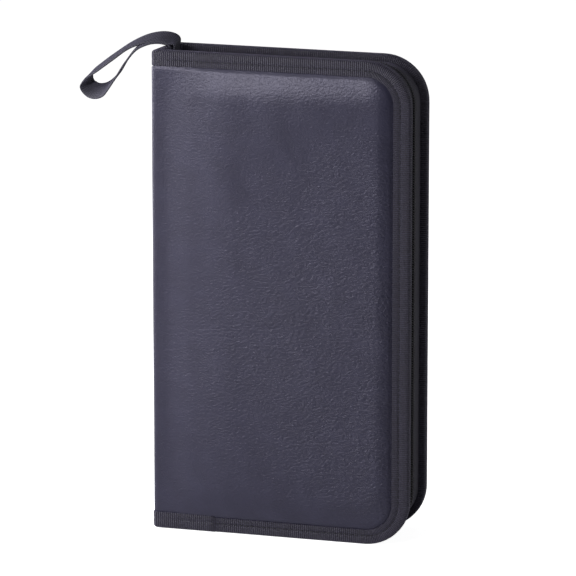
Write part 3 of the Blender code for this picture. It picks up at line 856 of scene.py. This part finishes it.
    def thicken(self, piece: bpy.types.Object, thickness: float) -> None:
        """Drop collapsed faces, turn the sheet outwards and give it its thickness inwards."""
        mesh = piece.data
        shape = bmesh.new()
        shape.from_mesh(mesh)
        bmesh.ops.remove_doubles(shape, verts=shape.verts, dist=MERGE)
        bmesh.ops.dissolve_degenerate(shape, edges=shape.edges, dist=MERGE)
        middle = max(shape.faces, key=lambda f: abs(f.calc_center_median().x - 0.07) < 0.01 and f.calc_area())
        if middle.normal.y * self.sign < 0:
            bmesh.ops.reverse_faces(shape, faces=shape.faces)
        shape.to_mesh(mesh)
        shape.free()
        solid = piece.modifiers.new("thickness", "SOLIDIFY")
        solid.thickness = thickness
        solid.offset = -1.0
        depsgraph = bpy.context.evaluated_depsgraph_get()
        done = bpy.data.meshes.new_from_object(piece.evaluated_get(depsgraph))
        piece.modifiers.clear()
        done.set_sharp_from_angle(angle=math.radians(SHARP_DEG))
        piece.data = done

    def stations(self) -> list[Station]:
        """Follow the binding from the spine's head, round the cover, to the spine's foot."""
        line, lap = self.edge, self.lap_place()
        head: list[Station] = []
        foot: list[Station] = []
        for s in SIZES.round_spine(6, 6) + [SIZES.flat + SIZES.bend]:
            (ox, oy, _), (ix, iy, _) = self.wall(s, 0.0), self.wall(s, SIZES.rim_t)
            for held, z, way, place in ((head, SIZES.spine_top(oy), -1.0, s - SIZES.arm_s),
                                        (foot, 0.0, 1.0, line.length + SIZES.arm_s - s)):
                held.append(Station(Vector((ox, oy, z)), Vector((ix, iy, z)), Vector((0, 0, way)), place))
        cover = []
        y = self.sign * SIZES.half_t
        for distance in sorted(line.marks(0.0034) + [lap, lap + self.over_binding]):
            x, z, nx, nz = line.at(line.length - distance)
            cover.append(Station(Vector((x, y, z)), Vector((x, y - self.sign * SIZES.rim_t, z)),
                                 Vector((nx, 0, nz)), distance))
        return head + cover + foot[::-1]

    def lap_place(self) -> float:
        """Return where along the front binding its end lies over its start."""
        return self.edge.length - (self.lap_length - (SIZES.hinge_x - SIZES.outer_x))

    def section(self, place: float, lap_place: float, level: float) -> list[Pair]:
        """Return the tape's U as (inset from the edge, depth below the face).

        Args:
            place: The place along the tape.
            lap_place: Where the tape's end lies over its start.
            level: 1 where the edge runs level, 0 where it runs upright; the tape was pulled
                further over a level edge.

        Returns:
            The closed outline of the section.
        """
        lap = clamp((place - lap_place) / self.over_binding) if self.side is Side.FRONT else 0.0
        leg = SIZES.binding_w - self.end_narrow * level + self.lap_extra * lap
        r, t, rim = SIZES.binding_fold_r, SIZES.binding_t, SIZES.rim_t
        bow = 0.00012 * stir(place * 90, 1.5 * self.sign, 0.0) - self.lap_rise * lap
        # The stitches draw a groove into the tape on the cover, and hardly any round the spine.
        drawn = 0.25 + 0.75 * clamp(min(place, self.edge.length - place) / self.groove_fade)
        shape = [(1.0, 0.12), (0.97, -0.02), (0.88, -0.11), (0.76, -0.09), (0.67, 0.05), (0.63, 0.34),
                 (0.59, 0.34), (0.55, 0.03), (0.44, -0.12), (0.32, -0.16)]
        outer = [(leg * a, b * drawn / 1000 + bow) for a, b in shape]
        outer += [(r * (1 + math.cos(t0)), bow + r * (1 - math.sin(t0)))
                  for t0 in (math.radians(a) for a in (105, 125, 145, 165, 180))]
        inner = [(r * (1 + math.cos(t0)), rim - r + r * math.sin(-t0))
                 for t0 in (math.radians(a) for a in (180, 205, 230, 255))]
        inner += [(leg * a, rim + b / 1000) for a, b in ((0.4, 0.15), (0.6, -0.15), (0.72, 0.05))]
        inner.append((SIZES.binding_inner_w, rim - 0.0001))
        under = [(SIZES.binding_inner_w, rim - t), (t, rim - t), (t, t), (leg, t)]
        return outer + inner + under

    def tape(self) -> bpy.types.Object:
        """Make the woven tape folded over the cover's and the spine's edges."""
        maker = MeshMaker(self.named("tape"))
        lap_place = self.lap_place()
        rows, places = [], []
        for station in self.stations():
            section = self.section(station.along, lap_place, abs(station.inward.z))
            through = (station.inner - station.outer) / SIZES.rim_t
            rows.append([station.outer + through * b + station.inward * a for a, b in section])
            places.append([(station.along, across) for across in run_round(section)])
        maker.grid(rows, places)
        return maker.finish(self.finishes.binding, "black_webbing", 60.0)

    def stitches(self) -> bpy.types.Object:
        """Make the lockstitch along the tape, on the outer and the inner leg."""
        maker = MeshMaker(self.named("stitches"))
        line = RimLine(self.top, 0.0, SIZES.hinge_x + 0.001)
        outer = SIZES.half_t - self.stitch_sink
        faces = ((outer, 1.0), (SIZES.half_t - SIZES.rim_t + self.stitch_sink, -1.0))
        for k in range(int(line.length / self.stitch_pitch)):
            for y, out in faces:
                self.stitch(maker, line, (k + 0.5) * self.stitch_pitch, self.sign * y, self.sign * out)
        return maker.finish(self.finishes.thread, "black_webbing", 80.0)

    def stitch(self, maker: MeshMaker, line: RimLine, middle: float, y: float, out: float) -> None:
        """Add one stitch, a short arched thread that dips into the tape at both ends."""
        rows, places = [], []
        for share in even(0.0, 1.0, 5):
            distance = middle + (share - 0.5) * self.stitch_length
            x, z, nx, nz = line.at(line.length - min(max(distance, 0.0), line.length))
            inset = (SIZES.binding_w - self.end_narrow * abs(nz)) * self.stitch_share
            x, z = x + nx * inset, z + nz * inset
            arch = math.sin(math.pi * share)
            radius = self.stitch_r * (0.55 + 0.45 * arch)
            lift = out * (0.00022 * arch - 0.00016)
            ring = [(radius * math.cos(a), radius * math.sin(a)) for a in HEXAGON]
            rows.append([Vector((x + nx * flat, y + lift + out * up, z + nz * flat)) for flat, up in ring])
            places.append([(distance, m * 0.0002) for m in range(7)])
        maker.grid(rows, places)


@dataclass
class ZipHalf(CoverPart):
    """One cover's half of the zip: its woven tape and its row of coil."""

    coil_pitch: float = 0.0015
    coil_r: float = 0.00030
    coil_height: float = 0.00078
    cloth_edge: float = 0.0012

    def build(self) -> None:
        """Make the tape and the coil and hang them on the cover."""
        made = [(self.tape(), self.named("zip_tape")), (self.coil(), self.named("zip_teeth"))]
        if self.side is Side.BACK:
            made.append((self.tail(), "zip_tail"))
        for piece, node in made:
            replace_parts(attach(piece, self.body), node)

    def tape(self) -> bpy.types.Object:
        """Make the tape, which stands as a wall on its sewn foot."""
        maker = MeshMaker(self.named("zip_cloth"))
        line = RimLine(self.top, SIZES.zip_inset, SIZES.outer_x + SIZES.zip_start - SIZES.tape_lead)
        foot = SIZES.half_t - SIZES.rim_t - SIZES.clear
        edge, t = SIZES.row_y + self.cloth_edge, SIZES.zip_tape_t
        wall = even(edge, foot, 8)
        section = [(0.0, y) for y in wall] + [(SIZES.zip_foot_w, foot), (SIZES.zip_foot_w, foot - t)]
        section += [(t, min(y, foot - t)) for y in wall[::-1]]
        rows, places = [], []
        for distance in line.marks(0.0035):
            x, z, nx, nz = line.at(distance)
            row = []
            for a, y in section:
                lean = 0.00025 * stir(distance * 45, y * 90, 2.0 * self.sign)
                lean *= 4 * (y - edge) * (foot - y) / (foot - edge) ** 2
                row.append(Vector((x + nx * (a + lean), self.sign * y, z + nz * (a + lean))))
            rows.append(row)
            places.append([(distance, across) for across in run_round(section)])
        maker.grid(rows, places)
        return maker.finish(self.finishes.zip_tape, "black_zip_tape")

    def tail(self) -> bpy.types.Object:
        """Make the tapes' sewn-up end: two layers folded over, with a bar of stitches."""
        maker = MeshMaker("zip_tail_cloth")
        low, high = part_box("zip_tail")
        middle, half = (low.z + high.z) / 2, (high.z - low.z) / 2
        centre, reach = (low.x + high.x) / 2, (high.x - low.x) / 2 - 0.0005
        right = [(0.9, -0.8), (1.0, 0.0), (0.9, 0.8)]
        around = [(-1.0, 0.0), (-0.9, 0.8), (0.0, 1.0), *right[::-1], (0.0, -1.0), (-0.9, -0.8)]
        rows, places = [], []
        for y in even(low.y, high.y, 24):
            pinch = 1.0 - 0.35 * math.exp(-((y - low.y - 0.004) / 0.0007) ** 2)
            wide = reach + 0.0004 * stir(y * 160, 4.0, 0.0)
            rows.append([Vector((centre + u * wide, y, middle + v * half * pinch)) for u, v in around])
            places.append([(y, m * 0.002) for m in range(9)])
        maker.grid(rows, places)
        return maker.finish(self.finishes.zip_tape, "black_zip_tape")

    def coil(self) -> bpy.types.Object:
        """Make the row of coil: one hairpin of filament after the other along the tape's edge."""
        maker = MeshMaker(self.named("coil"))
        middle = SIZES.zip_inset + SIZES.zip_tape_t / 2
        line = RimLine(self.top, middle, SIZES.outer_x + SIZES.zip_start)
        r, h = self.coil_r, self.coil_height
        tip, root = SIZES.row_y + r, SIZES.row_y + SIZES.tooth_reach
        half = [(-h, root), (-h, root * 0.55 + tip * 0.45), (-h * 0.95, tip + 0.4 * h),
                (-h * 0.55, tip + 0.05 * h)]
        path = half + [(0.0, tip)] + [(-out, y) for out, y in half[::-1]]
        # The front row begins later at the foot, so that the parked slider swings past it.
        shift, first = (0.25, SIZES.slider_pass) if self.side is Side.FRONT else (0.75, 0.0)
        for k in range(int((line.length - first) / self.coil_pitch)):
            x, z, nx, nz = line.at(first + (k + shift) * self.coil_pitch)
            rows, places = [], []
            for m, (out, y) in enumerate(path):
                before, after = path[max(m - 1, 0)], path[min(m + 1, len(path) - 1)]
                run = Vector((after[0] - before[0], after[1] - before[1])).normalized()
                row = []
                for angle in HEXAGON:
                    side_step, lift = r * math.cos(angle), r * math.sin(angle)
                    a = out - run.y * lift
                    row.append(Vector((x + nx * a - nz * side_step, self.sign * (y + run.x * lift),
                                       z + nz * a + nx * side_step)))
                rows.append(row)
                places.append([(m * 0.0005, n * 0.0003) for n in range(7)])
            maker.grid(rows, places)
        return maker.finish(self.finishes.coil, "black_nylon_coil", 80.0)


@dataclass
class SleeveLeaves:
    """The block of disc sleeves: cloth leaves with clear pockets on the two outermost faces."""

    finishes: Wardrobe
    count: int = 12
    gap: float = 0.0006
    corner_r: float = 0.006
    pocket_margin: float = 0.0035
    notch_r: float = 0.011

    def build(self) -> None:
        """Make the leaves and their pockets on the spine."""
        low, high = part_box("sleeve_leaves")
        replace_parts(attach(self.leaves(low, high), "spine"), "sleeve_leaves")
        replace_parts(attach(self.binder(), "spine"), "leaf_binder")
        for sign, label in ((-1.0, "front"), (1.0, "back")):
            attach(self.pocket(low, high, sign, label), "spine")

    def outline(self, low: Vector, high: Vector, steps: int = 6) -> list[Pair]:
        """Return a leaf's outline in (x, z), rounded at its two outer corners."""
        r = self.corner_r
        centre_x, low_z, high_z = high.x - r, low.z + r, high.z - r
        arcs = [[math.radians(a) for a in even(begin, begin + 90.0, steps)] for begin in (-90.0, 0.0)]
        found = [(low.x, low.z)]
        found += [(centre_x + r * math.cos(a), low_z + r * math.sin(a)) for a in arcs[0]]
        found += [(high.x, z) for z in even(low_z, high_z, 24)[1:-1]]
        found += [(centre_x + r * math.cos(a), high_z + r * math.sin(a)) for a in arcs[1]]
        return [*found, (low.x, high.z)]

    def leaves(self, low: Vector, high: Vector) -> bpy.types.Object:
        """Make the leaves, each a thin stack of cloth and film with a slightly wavy edge."""
        maker = MeshMaker("leaf_stack")
        thick = (high.y - low.y - (self.count - 1) * self.gap) / self.count
        for k in range(self.count):
            near = low.y + k * (thick + self.gap)
            rows = []
            for depth, shrink in ((0.0, 0.0005), (0.12, 0.0), (0.46, 0.0), (0.5, 0.0007), (0.54, 0.0),
                                  (0.88, 0.0), (1.0, 0.0005)):
                row = []
                for x, z in self.outline(low, high):
                    wave = 0.0006 * stir(z * 35, k * 3.7, 0.0) - 0.0007
                    edge_x = x - (shrink - wave if x > low.x + 0.01 else 0.0)
                    edge_z = z + (shrink if z < (low.z + high.z) / 2 else -shrink)
                    row.append(Vector((edge_x, near + thick * depth, edge_z)))
                rows.append(row)
            maker.grid(rows)
        return maker.finish(self.finishes.sleeve, "white_sleeves", 40.0)

    def binder(self) -> bpy.types.Object:
        """Make the cloth strip that holds the leaves, drawn in at the weld of each leaf."""
        maker = MeshMaker("binder_strip")
        low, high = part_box("leaf_binder")
        rows, places = [], []
        steps = 8 * self.count
        for k, y in enumerate(even(low.y, high.y, steps)):
            weld = abs(math.sin(math.pi * self.count * k / steps))
            front = high.x - 0.0004 * (1.0 - weld)
            corners = ((low.x, low.z), (front, low.z), (front, high.z), (low.x, high.z))
            rows.append([Vector((x, y, z)) for x, z in corners])
            places.append([(y, 0.0), (y, 0.001), (y, 0.27), (y, 0.271), (y, 0.54)])
        maker.grid(rows, places)
        return maker.finish(self.finishes.lining, "black_lining", 40.0)

    def pocket(self, low: Vector, high: Vector, sign: float, label: str) -> bpy.types.Object:
        """Make one face's two film pockets, welded at the rim, with a thumb notch at the open edge."""
        maker = MeshMaker(label + "_pockets")
        y0 = high.y if sign > 0 else low.y
        middle = (low.z + high.z) / 2
        m = self.pocket_margin
        x0, x1 = low.x + m, high.x - m - 0.002
        for z0, z1 in ((low.z + m, middle - m / 2), (middle + m / 2, high.z - m)):
            rows = []
            for v in even(0.0, 1.0, 24):
                z = z0 + (z1 - z0) * v
                cut = self.notch_r ** 2 - (z - (z0 + z1) / 2) ** 2
                end = x1 - (math.sqrt(cut) if cut > 0 else 0.0)
                row = []
                for u in even(0.0, 1.0, 24):
                    puff = math.sin(math.pi * v) ** 0.35 * math.sin(math.pi * min(u + 0.08, 0.92)) ** 0.35
                    row.append(Vector((x0 + (end - x0) * u, y0 + sign * (0.00028 * puff - 0.0001), z)))
                rows.append(row)
            maker.grid(rows, closed=False)
        return maker.finish(self.finishes.film, "white_sleeves", 40.0)


# The drawing's own route of the strap: the place from the spine's face (x), the middle (y) and the
# head (z), then the direction across the webbing.
STRAP_ROUTE = (
    (0.0087, 0.0000, -0.0110, 0.0, 1.0, 0.0),
    (0.0087, 0.0000, -0.0040, 0.0, 1.0, 0.0),
    (0.0090, 0.0000, 0.0006, 0.0, 1.0, 0.30),
    (0.0060, 0.0002, 0.0027, 0.0, 1.0, 0.55),
    (-0.0010, 0.0005, 0.0036, 0.0, 1.0, 0.45),
    (-0.0100, 0.0008, 0.0018, 0.0, 1.0, 0.36),
    (-0.0200, 0.0010, -0.0027, 0.0, 1.0, 0.26),
    (-0.0300, 0.0012, -0.0098, 0.0, 1.0, 0.32),
    (-0.0392, 0.0025, -0.0167, 0.1, 1.0, 0.40),
    (-0.0470, 0.0055, -0.0228, 0.30, 0.85, 0.42),
    (-0.0487, 0.0070, -0.0286, 0.46, 0.66, 0.60),
    (-0.0438, 0.0053, -0.0320, 0.45, 0.50, 0.74),
    (-0.0360, 0.0020, -0.0299, 0.26, 0.63, 0.74),
    (-0.0274, -0.0015, -0.0207, 0.0, 0.95, 0.20),
    (-0.0213, -0.0030, -0.0115, -0.1, 1.0, 0.10),
    (-0.0150, -0.0026, -0.0037, -0.1, 1.0, 0.10),
    (-0.0080, -0.0010, 0.0004, 0.0, 1.0, 0.20),
    (-0.0010, -0.0003, 0.0027, 0.0, 1.0, 0.45),
    (0.0050, 0.0000, 0.0017, 0.0, 1.0, 0.50),
    (0.0073, 0.0000, -0.0040, 0.0, 1.0, 0.0),
    (0.0073, 0.0000, -0.0110, 0.0, 1.0, 0.0),
)


@dataclass
class WristStrap:
    """The webbing loop sewn in at the spine's head."""

    finishes: Wardrobe
    width: float = 0.0110
    thick: float = 0.0012
    steps: int = 150

    def build(self) -> None:
        """Make the strap on the spine."""
        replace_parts(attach(self.webbing(), "spine"), "wrist_strap")

    def smooth(self) -> list[list[float]]:
        """Read even places from a smooth curve through the route."""
        route, found, last = STRAP_ROUTE, [], len(STRAP_ROUTE) - 1
        for k in range(self.steps + 1):
            place = last * k / self.steps
            i = min(int(place), last - 1)
            t = place - i
            around = (route[max(i - 1, 0)], route[i], route[i + 1], route[min(i + 2, last)])
            found.append([
                p1 + 0.5 * t * (p2 - p0) + t * t * (p0 - 2.5 * p1 + 2 * p2 - 0.5 * p3)
                + t ** 3 * (1.5 * (p1 - p2) + 0.5 * (p3 - p0))
                for p0, p1, p2, p3 in zip(*around)
            ])
        return found

    def webbing(self) -> bpy.types.Object:
        """Make the webbing with rounded selvedges."""
        maker = MeshMaker("wrist_webbing")
        route = self.smooth()
        spots = [Vector((SIZES.outer_x + p[0], p[1], SIZES.height + p[2])) for p in route]
        half, t = self.width / 2, self.thick / 2
        rim = [(-1.0, 0.4), (-0.95, 0.8), (-0.8, 1.0), (-0.5, 1.0), (0.0, 1.0), (0.5, 1.0), (0.8, 1.0),
               (0.95, 0.8), (1.0, 0.4)]
        section = [(u * half, v * t) for u, v in rim] + [(u * half, -v * t) for u, v in rim[::-1]]
        runs = run_round(section)
        rows, places, along = [], [], 0.0
        for k, place in enumerate(spots):
            if k:
                along += (place - spots[k - 1]).length
            way = (spots[min(k + 1, self.steps)] - spots[max(k - 1, 0)]).normalized()
            across = Vector(route[k][3:6])
            across = (across - way * across.dot(way)).normalized()
            out = way.cross(across)
            rows.append([place + across * u + out * v for u, v in section])
            places.append([(along, run) for run in runs])
        maker.grid(rows, places)
        return maker.finish(self.finishes.webbing, "black_webbing")


@dataclass
class KeptNodes:
    """The drawing's own solids that keep their shape and only get a finish."""

    finishes: Wardrobe

    def dress(self) -> None:
        """Give each kept solid its finish."""
        board, metal = self.finishes.board, self.finishes.metal
        chosen = {"board": board, "zip_stop": metal, "zip_slider": metal, "pull_tab": metal}
        for name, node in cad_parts.items():
            finish = next((m for key, m in chosen.items() if name.endswith(key)), None)
            if node.hide_render or finish is None:
                continue
            node.data.materials.clear()
            node.data.materials.append(finish)
            log.info("%s: %s", name, finish.name)


@dataclass(frozen=True)
class Studio:
    """The plain pale studio and the camera at the photograph's angle."""

    turn_deg: float = 16.05
    rise_deg: float = 13.77
    distance: float = 2.9264
    lens_mm: float = 309.9
    shift_px: Pair = (2.6, 3.5)
    picture_px: float = 576.0
    aim: Point = (0.0753, 0.0, 0.145)
    sensor_mm: float = 36.0
    floor_reach: float = 6.0
    floor_drop: float = 0.0003
    # Each lamp's name, place, width and height in metres, and watts.
    lamps: tuple[tuple[str, Point, Pair, float], ...] = (
        ("key_softbox", (-1.00, -0.12, 0.35), (0.50, 0.50), 11.5),
        ("front_softbox", (-0.60, -0.90, 0.34), (0.30, 0.30), 3.0),
        ("high_softbox", (-0.28, -0.92, 0.68), (0.50, 0.20), 6.4),
        ("top_softbox", (-0.10, -0.45, 1.30), (0.70, 0.70), 2.8),
        ("rim_softbox", (1.10, 0.60, 0.35), (0.50, 0.50), 2.2),
    )

    def build(self) -> None:
        """Set up the floor, the lamps, the world and the camera."""
        self.floor()
        for lamp in self.lamps:
            self.lamp(*lamp)
        self.world()
        self.camera()
        bpy.context.scene.view_settings.view_transform = "Standard"

    def floor(self) -> None:
        """Lay a pale floor that the camera sees as white paper, with the case's shadow."""
        mesh = bpy.data.meshes.new("studio_floor")
        reach = self.floor_reach
        mesh.from_pydata([(x * reach, y * reach, 0) for x, y in ((-1, -1), (1, -1), (1, 1), (-1, 1))], [],
                         [(0, 1, 2, 3)])
        floor = bpy.data.objects.new("studio_floor", mesh)
        floor.location.z = -self.floor_drop
        bpy.context.scene.collection.objects.link(floor)
        paper = Graph("paper_sweep_matt", 0.9)
        paper.set({"Base Color": linear("#EDEDEF")})
        tree, shader = paper.tree, paper.shader
        path = add_node(tree, "LightPath")
        glow = add_node(tree, "Emission", {"Color": (1, 1, 1, 1), "Strength": 0.93})
        lit = add_node(tree, "AddShader", {0: shader.outputs[0], 1: glow.outputs[0]})
        layers = {0: path.outputs["Is Camera Ray"], 1: shader.outputs[0], 2: lit.outputs[0]}
        seen = add_node(tree, "MixShader", layers)
        tree.links.new(seen.outputs[0], tree.nodes["Material Output"].inputs["Surface"])
        mesh.materials.append(paper.material)

    def lamp(self, name: str, place: Point, size: Pair, power: float) -> None:
        """Hang a rectangular softbox that faces the case."""
        light = bpy.data.lights.new(name, "AREA")
        light.shape = "RECTANGLE"
        light.size, light.size_y = size
        light.energy = power
        lamp = bpy.data.objects.new(name, light)
        lamp.location = place
        lamp.rotation_euler = (Vector(self.aim) - Vector(place)).to_track_quat("-Z", "Y").to_euler()
        bpy.context.scene.collection.objects.link(lamp)

    def world(self) -> None:
        """Surround the case with plain white, seen as white and dimmer as light."""
        world = bpy.data.worlds.new("studio_white")
        bpy.context.scene.world = world
        world.use_nodes = True
        tree = world.node_tree
        back = tree.nodes["Background"]
        path = add_node(tree, "LightPath")
        rays = {0: path.outputs["Is Glossy Ray"], 1: path.outputs["Is Transmission Ray"]}
        shine = add_node(tree, "Math", rays, operation="MAXIMUM")
        mirrored = add_node(tree, "MapRange", {0: shine.outputs[0], 3: 0.03, 4: 0.10})
        strength = add_node(tree, "Mix", {0: path.outputs["Is Camera Ray"], 2: mirrored.outputs[0], 3: 1.0})
        tree.links.new(strength.outputs[0], back.inputs["Strength"])
        back.inputs["Color"].default_value = (1.0, 1.0, 1.0, 1.0)

    def camera(self) -> None:
        """Place the camera as the photograph was taken."""
        turn, rise = math.radians(self.turn_deg), math.radians(self.rise_deg)
        back = Vector((math.sin(turn) * math.cos(rise), -math.cos(turn) * math.cos(rise), math.sin(rise)))
        data = bpy.data.cameras.new("photo_camera")
        data.lens = self.lens_mm
        data.sensor_width = self.sensor_mm
        data.shift_x = -self.shift_px[0] / self.picture_px
        data.shift_y = self.shift_px[1] / self.picture_px
        data.clip_end = 50.0
        camera = bpy.data.objects.new("photo_camera", data)
        camera.location = Vector(self.aim) + back * self.distance
        camera.rotation_euler = (-back).to_track_quat("-Z", "Y").to_euler()
        bpy.context.scene.collection.objects.link(camera)
        bpy.context.scene.camera = camera


def main() -> None:
    """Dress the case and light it."""
    logging.basicConfig(level=logging.INFO, format="%(name)s %(message)s")
    for name in ("Cube", "Light", "Camera"):
        if name in bpy.data.objects:
            bpy.data.objects.remove(bpy.data.objects[name])
    finishes = Wardrobe()
    Studio().build()
    for side in Side:
        CoverShell(side, finishes).build()
        ZipHalf(side, finishes).build()
    SleeveLeaves(finishes).build()
    WristStrap(finishes).build()
    KeptNodes(finishes).dress()


if __name__ == "__main__":
    main()
